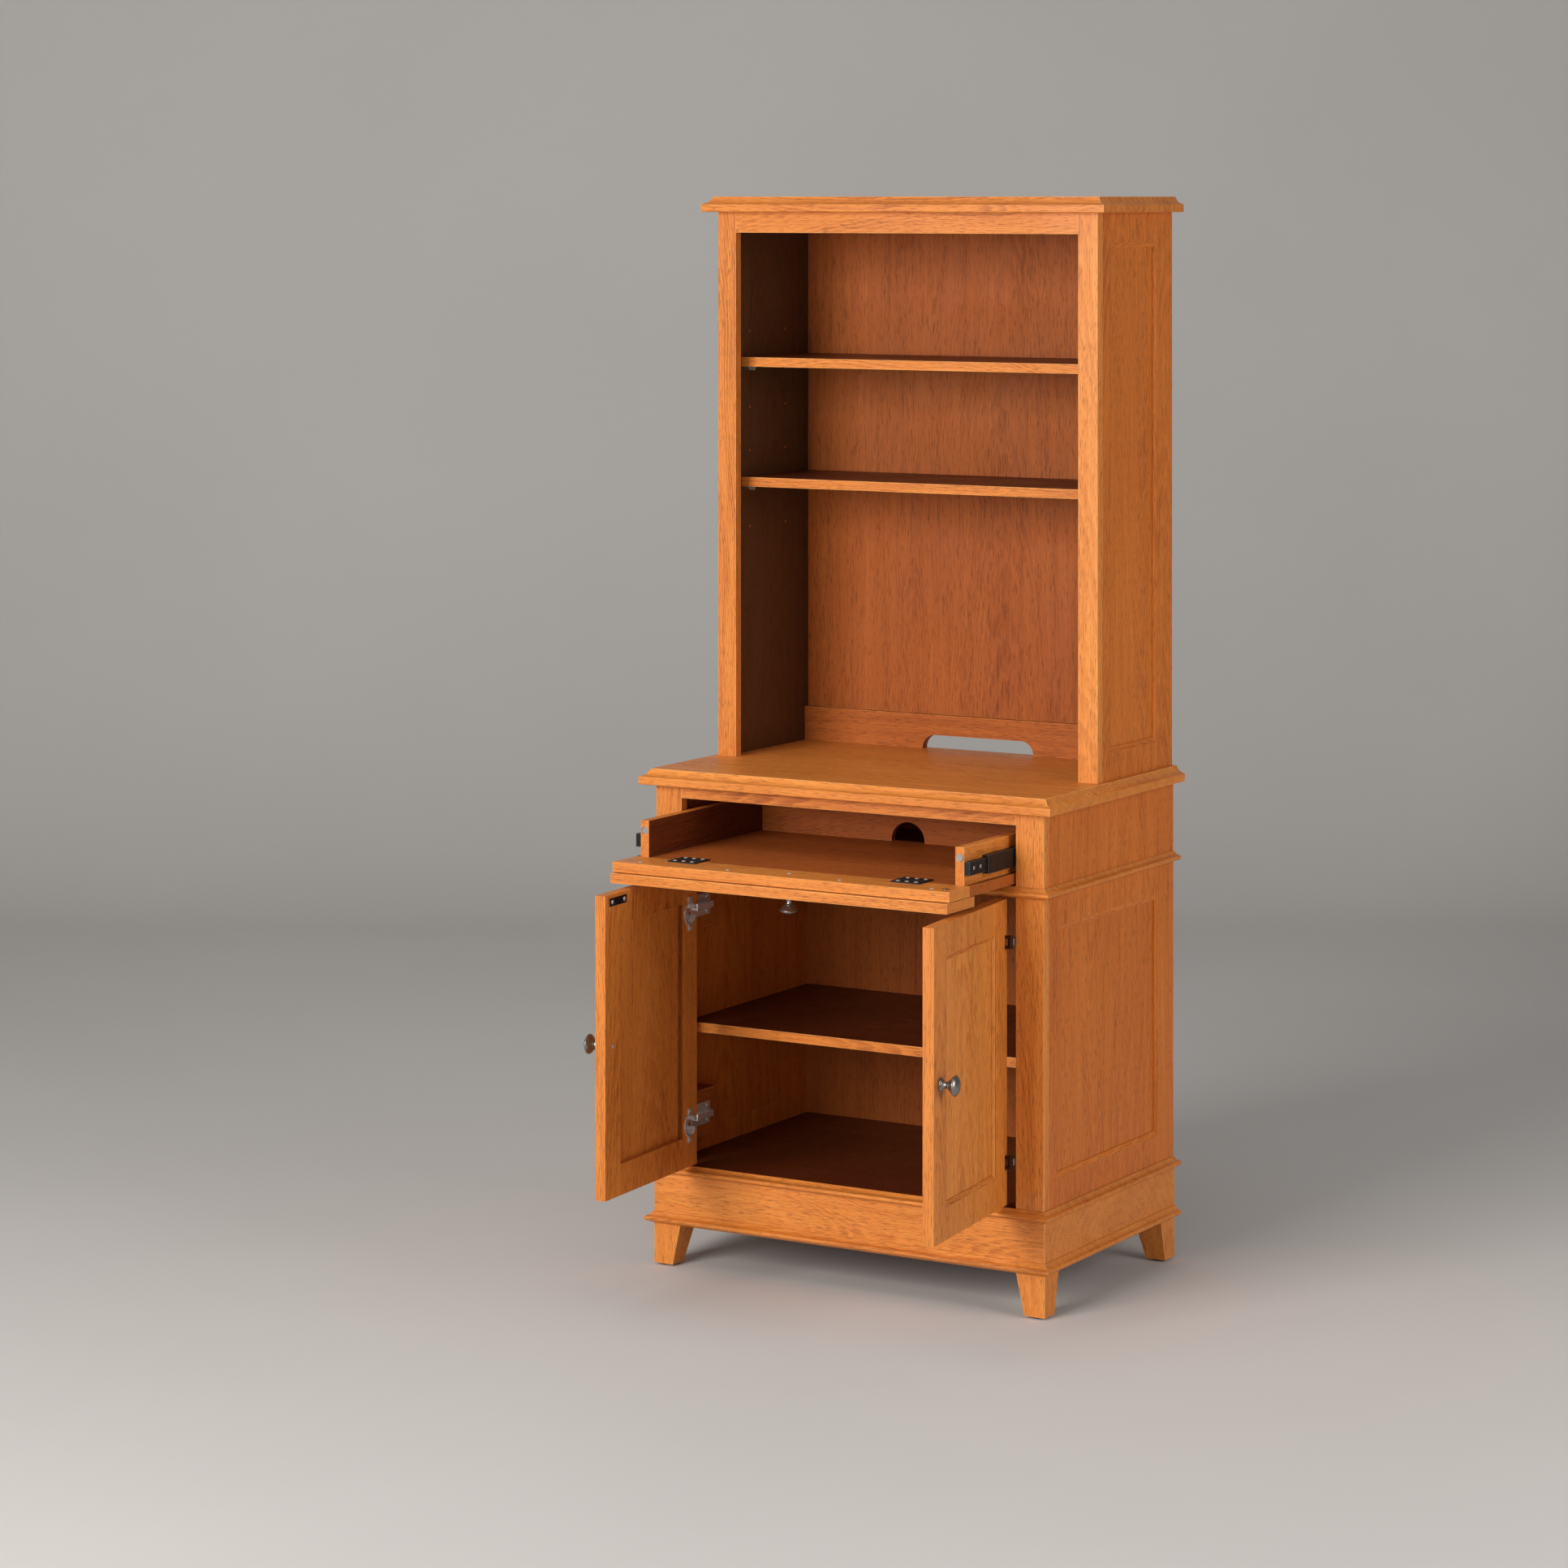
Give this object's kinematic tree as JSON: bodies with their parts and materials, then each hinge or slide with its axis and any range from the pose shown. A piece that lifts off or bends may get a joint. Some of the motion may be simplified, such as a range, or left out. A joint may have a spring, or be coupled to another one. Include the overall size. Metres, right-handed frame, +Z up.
{
  "type": "computer desk",
  "caption": "Oak-finish computer desk with a shelved hutch, a two-door cabinet and a pull-out keyboard drawer whose front folds down level with the tray, standing on tapered feet",
  "frame": {"origin": "on the floor under the middle of the bounding box, drawn with the doors open and the keyboard drawer pulled out", "axes": "+Z up, +X to the right of a person facing the desk, +Y towards its back"},
  "size_m": [0.708, 0.7274, 1.64],
  "materials": {
    "oak": "honey oak veneer under satin lacquer",
    "oak_side": "honey oak veneer under satin lacquer, seen on the sides",
    "inner_wood": "darker wood-grain laminate on inside faces",
    "black_metal": "satin black",
    "nickel": "satin nickel plate",
    "pewter": "dark antique pewter",
    "glide_plastic": "matt moulded"
  },
  "bodies": {
    "carcass": {"desktop": "oak", "base_stile_left": "oak", "base_stile_right": "oak", "base_top_rail": "oak", "waist_rail": "oak", "plinth_boards": "oak", "waist_mouldings": "oak", "plinth_cap_mouldings": "oak", "base_mouldings": "oak", "foot_front_left": "oak", "foot_front_right": "oak", "foot_back_left": "oak", "foot_back_right": "oak", "crown": "oak", "hutch_stiles": "oak", "hutch_top_rail": "oak", "side_frame_left": "oak_side", "side_frame_right": "oak_side", "side_panels": "oak_side", "hutch_side_left": "oak_side", "hutch_side_right": "oak_side", "hutch_side_panels": "oak_side", "cabinet_floor": "inner_wood", "drawer_divider": "inner_wood", "base_back": "inner_wood", "inner_shelf": "inner_wood", "hinge_blocks": "inner_wood", "runner_spacers": "inner_wood", "hutch_back": "inner_wood", "hutch_back_rail": "inner_wood", "upper_shelf": "inner_wood", "lower_shelf": "inner_wood", "base_shelf_pins": "nickel", "hutch_shelf_pins": "nickel", "hinge_arms": "nickel", "door_catches": "black_metal", "slide_cabinet_members": "black_metal", "foot_glides": "glide_plastic"},
    "slide_middles": {"slide_middle_members": "black_metal"},
    "keyboard_drawer": {"tray": "inner_wood", "drawer_side_left": "inner_wood", "drawer_side_right": "inner_wood", "drawer_back": "inner_wood", "drawer_magnets": "nickel", "flap_hinge_bases": "black_metal", "slide_drawer_members": "black_metal"},
    "drop_front": {"flap": "inner_wood", "drop_front": "oak", "flap_hinge_leaves": "black_metal", "front_hardware": "pewter"},
    "door_left": {"door_frame_left": "oak", "door_panel_left": "oak", "door_knob_left": "pewter", "hinge_cups_left": "nickel", "strike_left": "black_metal"},
    "door_right": {"door_frame_right": "oak", "door_panel_right": "oak", "door_knob_right": "pewter", "hinge_cups_right": "nickel", "strike_right": "black_metal"}
  },
  "joints": [
    {"name": "drawer_slide", "type": "slide", "parent": "carcass", "child": "keyboard_drawer", "axis": [0, -1, 0], "range_m": [-0.168, 0]},
    {"name": "slide_middle", "type": "slide", "parent": "carcass", "child": "slide_middles", "axis": [0, -1, 0], "range_m": [-0.115, 0]},
    {"name": "flap_hinge", "type": "hinge", "parent": "keyboard_drawer", "child": "drop_front", "pos_m": [0, -0.2113, 0.648], "axis": [-1, 0, 0], "range_deg": [0, 90.5]},
    {"name": "door_left_hinge", "type": "hinge", "parent": "carcass", "child": "door_left", "pos_m": [-0.283, -0.0813, 0.387], "axis": [0, 0, 1], "range_deg": [-18.5, 86.5]},
    {"name": "door_right_hinge", "type": "hinge", "parent": "carcass", "child": "door_right", "pos_m": [0.283, -0.0813, 0.387], "axis": [0, 0, -1], "range_deg": [-8.5, 96.5]}
  ],
  "couplings": [
    {"joint": "slide_middle", "follows": "drawer_slide", "ratio": 0.67857},
    {"joint": "flap_hinge", "follows": "drawer_slide", "rad_per_m": -9.35}
  ]
}
